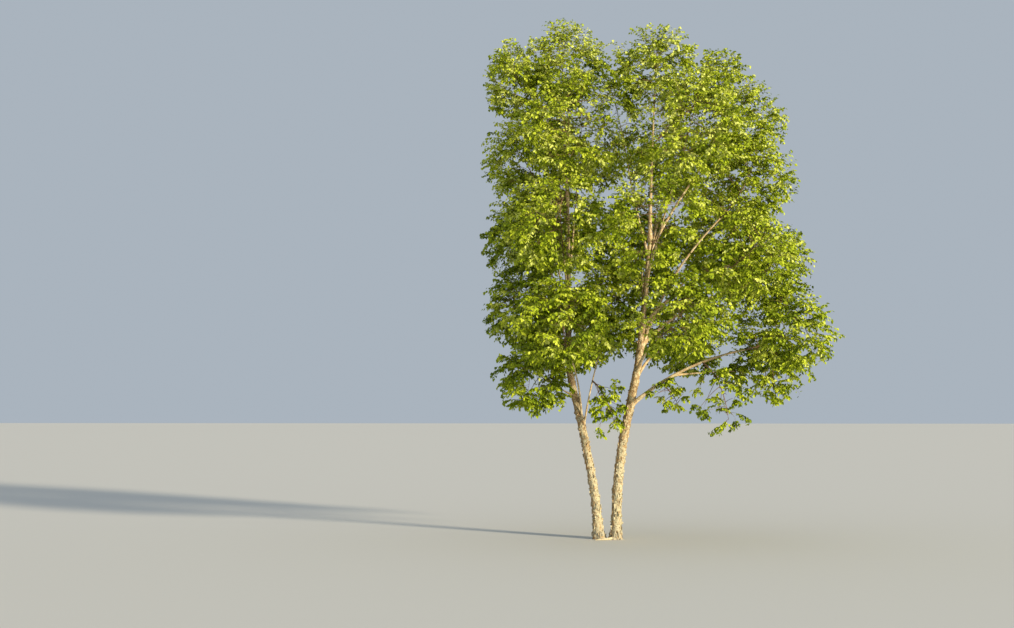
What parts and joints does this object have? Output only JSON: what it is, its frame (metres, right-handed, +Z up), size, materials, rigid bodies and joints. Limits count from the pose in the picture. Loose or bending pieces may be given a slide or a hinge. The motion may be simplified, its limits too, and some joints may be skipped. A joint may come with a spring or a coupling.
{
  "type": "river birch tree",
  "caption": "Clump-grown river birch with slender leaning stems joined at the root, pale peeling bark, arching boughs and a light, open crown of small drooping leaves.",
  "frame": {"origin": "on the ground, in the middle of the flat cut under the thicker, right-hand stem", "axes": "+Z up; +X to the right and +Y away from the viewer, as the picture sees the tree"},
  "size_m": [8.3328, 7.2917, 12.3],
  "materials": {
    "stem_bark": "rough, peeling in papery curls, cream and salmon",
    "bough_bark": "thin, tan to salmon bark, smoother than on the stems",
    "foliage": "small soft leaves, yellow-green, slightly glossy"
  },
  "bodies": {
    "root": {"right_stem": "stem_bark", "left_stem": "stem_bark", "low_right_bough": "bough_bark", "right_fork_bough": "bough_bark", "far_right_bough": "bough_bark", "right_bough": "bough_bark", "right_spreading_bough": "bough_bark", "right_back_bough": "bough_bark", "right_top_bough": "bough_bark", "upper_right_bough": "bough_bark", "upper_inner_bough": "bough_bark", "front_low_bough": "bough_bark", "front_bough": "bough_bark", "front_high_bough": "bough_bark", "back_low_bough": "bough_bark", "back_bough": "bough_bark", "back_high_bough": "bough_bark", "inner_bough": "bough_bark", "left_top_bough": "bough_bark", "left_fork_bough": "bough_bark", "low_left_bough": "bough_bark", "left_bough": "bough_bark", "left_high_bough": "bough_bark", "left_front_low_bough": "bough_bark", "left_front_bough": "bough_bark", "left_back_low_bough": "bough_bark", "left_back_bough": "bough_bark", "left_back_high_bough": "bough_bark", "low_right_foliage": "foliage", "right_fork_foliage": "foliage", "hanging_right_foliage": "foliage", "hanging_inner_foliage": "foliage", "far_right_foliage": "foliage", "right_foliage": "foliage", "right_spreading_foliage": "foliage", "right_back_foliage": "foliage", "right_top_foliage": "foliage", "upper_right_foliage": "foliage", "right_shoulder_foliage": "foliage", "upper_inner_foliage": "foliage", "front_low_foliage": "foliage", "front_foliage": "foliage", "front_high_foliage": "foliage", "back_low_foliage": "foliage", "back_foliage": "foliage", "back_high_foliage": "foliage", "inner_foliage": "foliage", "between_foliage": "foliage", "left_top_foliage": "foliage", "left_shoulder_foliage": "foliage", "left_upper_foliage": "foliage", "left_fork_foliage": "foliage", "low_left_foliage": "foliage", "left_foliage": "foliage", "left_high_foliage": "foliage", "left_front_low_foliage": "foliage", "left_front_foliage": "foliage", "left_back_low_foliage": "foliage", "left_back_foliage": "foliage", "left_back_high_foliage": "foliage"}
  },
  "joints": []
}
